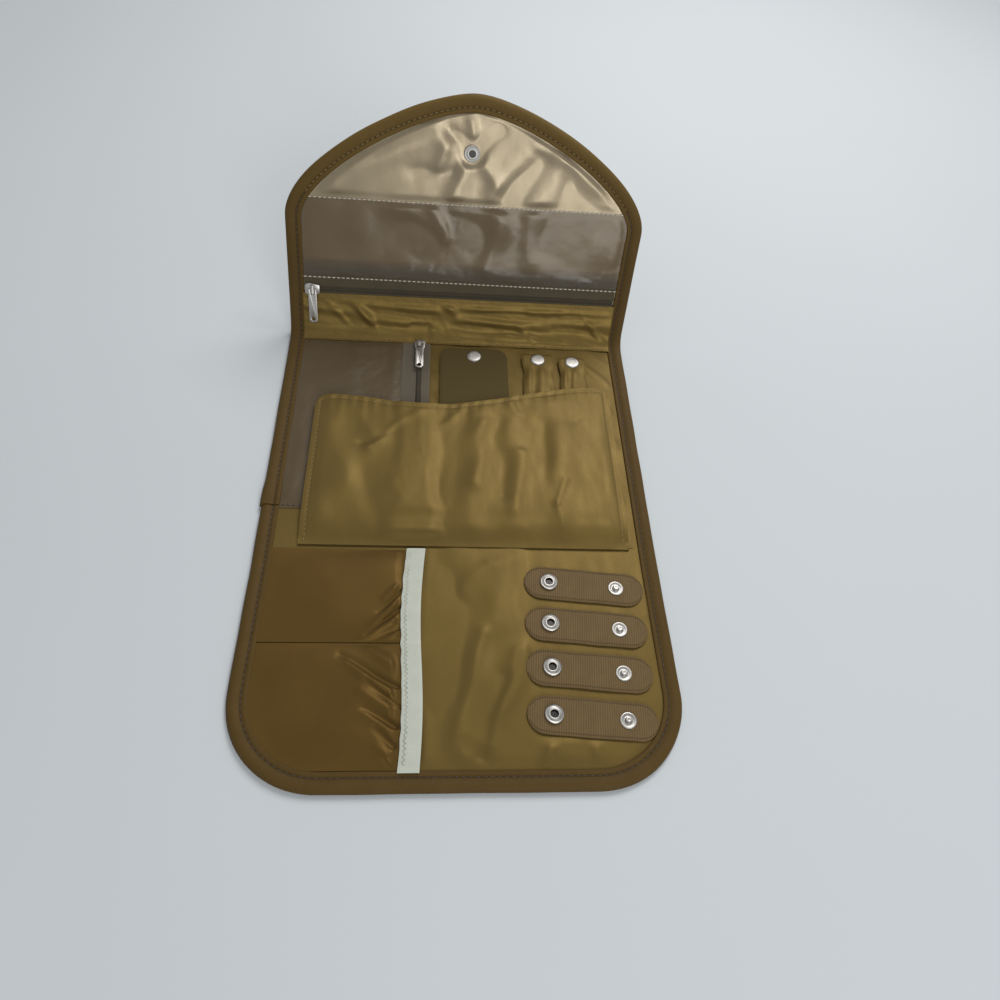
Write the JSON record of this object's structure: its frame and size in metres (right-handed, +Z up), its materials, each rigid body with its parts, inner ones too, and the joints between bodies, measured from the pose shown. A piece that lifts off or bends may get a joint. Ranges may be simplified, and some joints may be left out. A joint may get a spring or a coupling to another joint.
{
  "type": "travel jewelry organizer",
  "caption": "Folding jewelry organizer, opened flat with its envelope flap leaning back: earring board, necklace and ring straps, gathered pockets, zipped vinyl pockets.",
  "frame": {"origin": "centre of the underside of the middle panel, on the table", "axes": "+X to the right across the panels, +Y from the bottom panel towards the flap, +Z up from the table"},
  "size_m": [0.2363, 0.3759, 0.1398],
  "materials": {
    "leather": "fine-grained leatherette",
    "binding": "fine-grained leatherette strip",
    "satin": "glossy satin",
    "silver_satin": "glossy satin",
    "taffeta": "fine taffeta",
    "vinyl": "clear soft sheet",
    "zipper_tape": "herringbone tape with a nylon coil",
    "board": "matt ribbed cloth over board",
    "elastic": "ribbed elastic",
    "strap": "leatherette",
    "metal": "polished nickel"
  },
  "bodies": {
    "middle_panel": {"middle_shell": "leather", "middle_lining": "satin", "left_binding": "binding", "right_binding": "binding", "lower_fold": "leather", "upper_fold": "leather", "spine_strip": "satin", "vinyl_pocket": "vinyl", "pocket_zipper_tape_left": "zipper_tape", "pocket_zipper_tape_right": "zipper_tape", "pocket_zipper_coil": "zipper_tape", "earring_board": "board", "necklace_strap_left": "satin", "necklace_strap_right": "satin", "earring_snap_stud": "metal", "necklace_snap_stud_left": "metal", "necklace_snap_stud_right": "metal"},
    "cover_flap": {"cover_flap": "satin"},
    "earring_tab": {"earring_board_tab": "board", "earring_snap_cap": "metal"},
    "necklace_tab_left": {"necklace_tab_left": "satin", "necklace_snap_cap_left": "metal"},
    "necklace_tab_right": {"necklace_tab_right": "satin", "necklace_snap_cap_right": "metal"},
    "pocket_slider": {"pocket_zipper_slider": "metal"},
    "pocket_pull": {"pocket_zipper_pull": "metal"},
    "bottom_panel": {"bottom_shell": "leather", "bottom_lining": "satin", "bottom_binding": "binding", "closure_stud": "metal", "upper_gathered_pocket": "taffeta", "lower_gathered_pocket": "taffeta", "elastic_band": "elastic", "ring_strap_1": "strap", "ring_strap_2": "strap", "ring_strap_3": "strap", "ring_strap_4": "strap", "ring_snap_stud_1": "metal", "ring_snap_stud_2": "metal", "ring_snap_stud_3": "metal", "ring_snap_stud_4": "metal"},
    "ring_flap_1": {"ring_strap_flap_1": "strap", "ring_snap_socket_1": "metal"},
    "ring_flap_2": {"ring_strap_flap_2": "strap", "ring_snap_socket_2": "metal"},
    "ring_flap_3": {"ring_strap_flap_3": "strap", "ring_snap_socket_3": "metal"},
    "ring_flap_4": {"ring_strap_flap_4": "strap", "ring_snap_socket_4": "metal"},
    "flap": {"flap_shell": "leather", "flap_lining": "silver_satin", "flap_binding": "binding", "flap_vinyl_window": "vinyl", "flap_satin_strip": "satin", "flap_zipper_tape_lower": "zipper_tape", "flap_zipper_tape_upper": "zipper_tape", "flap_zipper_coil": "zipper_tape", "closure_snap": "metal"},
    "flap_slider": {"flap_zipper_slider": "metal"},
    "flap_pull": {"flap_zipper_pull": "metal"}
  },
  "joints": [
    {"name": "bottom_panel_fold", "type": "hinge", "parent": "middle_panel", "child": "bottom_panel", "pos_m": [0, -0.0855, 0.01], "axis": [-1, 0, 0], "range_deg": [0, 180], "deforming": ["lower_fold"]},
    {"name": "flap_fold", "type": "hinge", "parent": "middle_panel", "child": "flap", "pos_m": [0, 0.083, 0.015], "axis": [1, 0, 0], "range_deg": [-63, 118.1], "deforming": ["upper_fold", "spine_strip"]},
    {"name": "cover_flap_lift", "type": "hinge", "parent": "middle_panel", "child": "cover_flap", "pos_m": [0, -0.081, 0.0039], "axis": [-1, 0, 0], "range_deg": [-140, 0]},
    {"name": "earring_tab_lift", "type": "hinge", "parent": "middle_panel", "child": "earring_tab", "pos_m": [0.01, 0.0345, 0.008], "axis": [-1, 0, 0], "range_deg": [-135, 0]},
    {"name": "necklace_tab_left_lift", "type": "hinge", "parent": "middle_panel", "child": "necklace_tab_left", "pos_m": [0.0542, 0.0415, 0.008], "axis": [-1, 0, 0], "range_deg": [-135, 0]},
    {"name": "necklace_tab_right_lift", "type": "hinge", "parent": "middle_panel", "child": "necklace_tab_right", "pos_m": [0.0782, 0.0455, 0.008], "axis": [-1, 0, 0], "range_deg": [-135, 0]},
    {"name": "ring_flap_1_lift", "type": "hinge", "parent": "bottom_panel", "child": "ring_flap_1", "pos_m": [0.06928, -0.10534, 0.006], "axis": [-0.0854, -0.9963, 0], "range_deg": [-178, 0]},
    {"name": "ring_flap_2_lift", "type": "hinge", "parent": "bottom_panel", "child": "ring_flap_2", "pos_m": [0.06848, -0.13054, 0.006], "axis": [-0.0854, -0.9963, 0], "range_deg": [-178, 0]},
    {"name": "ring_flap_3_lift", "type": "hinge", "parent": "bottom_panel", "child": "ring_flap_3", "pos_m": [0.06768, -0.15574, 0.006], "axis": [-0.0854, -0.9963, 0], "range_deg": [-178, 0]},
    {"name": "ring_flap_4_lift", "type": "hinge", "parent": "bottom_panel", "child": "ring_flap_4", "pos_m": [0.06688, -0.18094, 0.006], "axis": [-0.0854, -0.9963, 0], "range_deg": [-178, 0]},
    {"name": "flap_zipper_slide", "type": "slide", "parent": "flap", "child": "flap_slider", "axis": [1, 0, 0], "range_m": [0, 0.2]},
    {"name": "flap_pull_swing", "type": "hinge", "parent": "flap_slider", "child": "flap_pull", "pos_m": [-0.09965, 0.10028, 0.0315], "axis": [1, 0, 0], "range_deg": [-110, 0]},
    {"name": "pocket_zipper_slide", "type": "slide", "parent": "middle_panel", "child": "pocket_slider", "axis": [0, -1, 0], "range_m": [0, 0.128]},
    {"name": "pocket_pull_swing", "type": "hinge", "parent": "pocket_slider", "child": "pocket_pull", "pos_m": [-0.0272, 0.079, 0.0067], "axis": [1, 0, 0], "range_deg": [-110, 0]}
  ]
}
